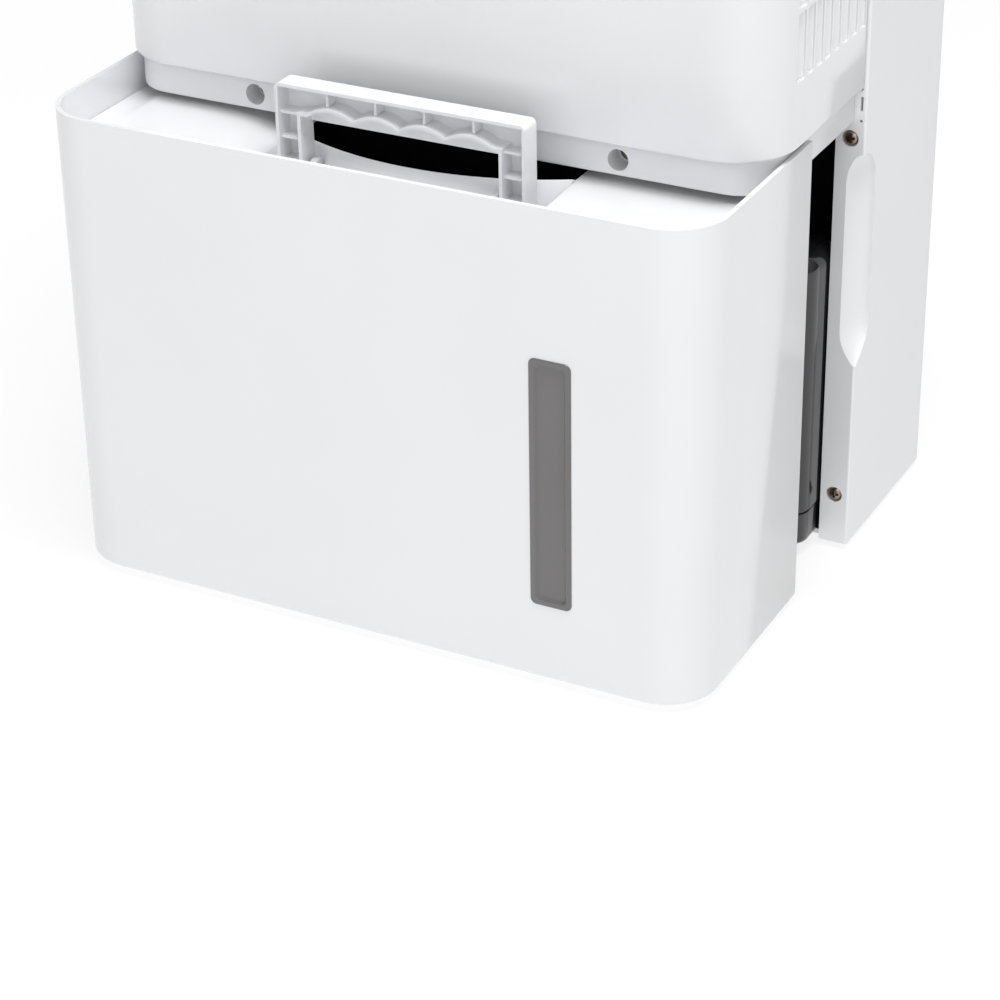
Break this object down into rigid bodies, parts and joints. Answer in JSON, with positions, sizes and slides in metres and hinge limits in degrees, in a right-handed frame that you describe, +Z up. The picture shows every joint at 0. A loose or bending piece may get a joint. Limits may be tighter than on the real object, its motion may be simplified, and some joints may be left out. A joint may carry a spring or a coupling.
{
  "type": "dehumidifier",
  "caption": "White compressor dehumidifier standing on the floor, its water bucket part way out at the front with the carrying handle raised.",
  "frame": {"origin": "on the floor under the middle of the machine's box, with the bucket open as stored", "axes": "+X to the machine's right as seen from the front, front towards -Y, +Z up"},
  "size_m": [0.386, 0.3268, 0.5],
  "materials": {
    "casing_white_satin": "fine satin moulding",
    "casing_white_gloss": "glossy white",
    "bay_panel_white": "semi-gloss white",
    "bucket_white_gloss": "glossy white",
    "lid_white": "satin white",
    "handle_white": "semi-gloss white",
    "button_white": "glossy white",
    "tank_smoke": "dark smoked, glossy",
    "window_grey": "smoked grey, glossy",
    "panel_gloss": "piano black",
    "black_plastic": "matt black",
    "foot_rubber": "matt black rubber",
    "screw_nickel": "dark nickel plated",
    "steel": "zinc plated",
    "black_paint": "black enamel over steel",
    "aluminium": "mill finish",
    "copper": "drawn copper tube",
    "circuit": "solder mask green",
    "filter_mesh": "dark grey mesh"
  },
  "bodies": {
    "casing": {"rear_casing": "casing_white_satin", "carry_grip_left": "casing_white_satin", "carry_grip_right": "casing_white_satin", "front_casing": "casing_white_gloss", "top_cover": "casing_white_gloss", "bay_top_panel": "bay_panel_white", "control_panel": "panel_gloss", "display_window": "panel_gloss", "bay_liner": "black_plastic", "fan_scroll": "black_plastic", "drip_tray": "black_plastic", "bucket_switch": "black_plastic", "cord_inlet": "black_plastic", "foot_front_left": "foot_rubber", "foot_front_right": "foot_rubber", "foot_rear_left": "foot_rubber", "foot_rear_right": "foot_rubber", "compressor_mount_left": "foot_rubber", "compressor_mount_right": "foot_rubber", "compressor_mount_front": "foot_rubber", "flange_screw_left_lower": "screw_nickel", "flange_screw_left_upper": "screw_nickel", "flange_screw_right_lower": "screw_nickel", "flange_screw_right_upper": "screw_nickel", "panel_screw_left": "screw_nickel", "panel_screw_right": "screw_nickel", "base_pan": "steel", "fan_motor": "steel", "compressor": "black_paint", "accumulator": "black_paint", "evaporator": "aluminium", "condenser": "aluminium", "run_capacitor": "aluminium", "discharge_pipe": "copper", "suction_pipe": "copper", "capillary_tube": "copper", "control_board": "circuit", "humidity_sensor": "circuit"},
    "bucket": {"bucket_front": "bucket_white_gloss", "level_window": "window_grey", "water_tank": "tank_smoke", "tank_lid": "lid_white", "handle_pin_left": "steel", "handle_pin_right": "steel", "float_hanger": "lid_white"},
    "handle": {"bucket_handle": "handle_white"},
    "float": {"float_arm": "lid_white"},
    "fan": {"fan_wheel": "black_plastic"},
    "filter": {"intake_grille": "casing_white_satin", "air_filter": "filter_mesh"},
    "power_key": {"power_button": "button_white"},
    "mode_key": {"mode_button": "button_white"},
    "humidity_key": {"humidity_button": "button_white"},
    "fan_speed_key": {"fan_speed_button": "button_white"},
    "timer_key": {"timer_button": "button_white"}
  },
  "joints": [
    {"name": "bucket_slide", "type": "slide", "parent": "casing", "child": "bucket", "axis": [0, -1, 0], "range_m": [-0.066, 0]},
    {"name": "handle_fold", "type": "hinge", "parent": "bucket", "child": "handle", "pos_m": [0, -0.1086, 0.2385], "axis": [1, 0, 0], "range_deg": [0, 90]},
    {"name": "float_lift", "type": "hinge", "parent": "bucket", "child": "float", "pos_m": [-0.12, -0.0446, 0.236], "axis": [-1, 0, 0], "range_deg": [0, 6]},
    {"name": "fan_spin", "type": "hinge", "parent": "casing", "child": "fan", "pos_m": [-0.02, -0.0126, 0.372], "axis": [0, 1, 0], "continuous": true},
    {"name": "filter_slide", "type": "slide", "parent": "casing", "child": "filter", "axis": [0, 1, 0], "range_m": [0, 0.04]},
    {"name": "power_press", "type": "slide", "parent": "casing", "child": "power_key", "axis": [0, 0, -1], "range_m": [0, 0.0012], "stiffness_N_per_m": 400},
    {"name": "mode_press", "type": "slide", "parent": "casing", "child": "mode_key", "axis": [0, 0, -1], "range_m": [0, 0.0012], "stiffness_N_per_m": 400},
    {"name": "humidity_press", "type": "slide", "parent": "casing", "child": "humidity_key", "axis": [0, 0, -1], "range_m": [0, 0.0012], "stiffness_N_per_m": 400},
    {"name": "fan_speed_press", "type": "slide", "parent": "casing", "child": "fan_speed_key", "axis": [0, 0, -1], "range_m": [0, 0.0012], "stiffness_N_per_m": 400},
    {"name": "timer_press", "type": "slide", "parent": "casing", "child": "timer_key", "axis": [0, 0, -1], "range_m": [0, 0.0012], "stiffness_N_per_m": 400}
  ],
  "couplings": [
    {"joint": "handle_fold", "follows": "bucket_slide", "rad_per_m": -23.79}
  ]
}
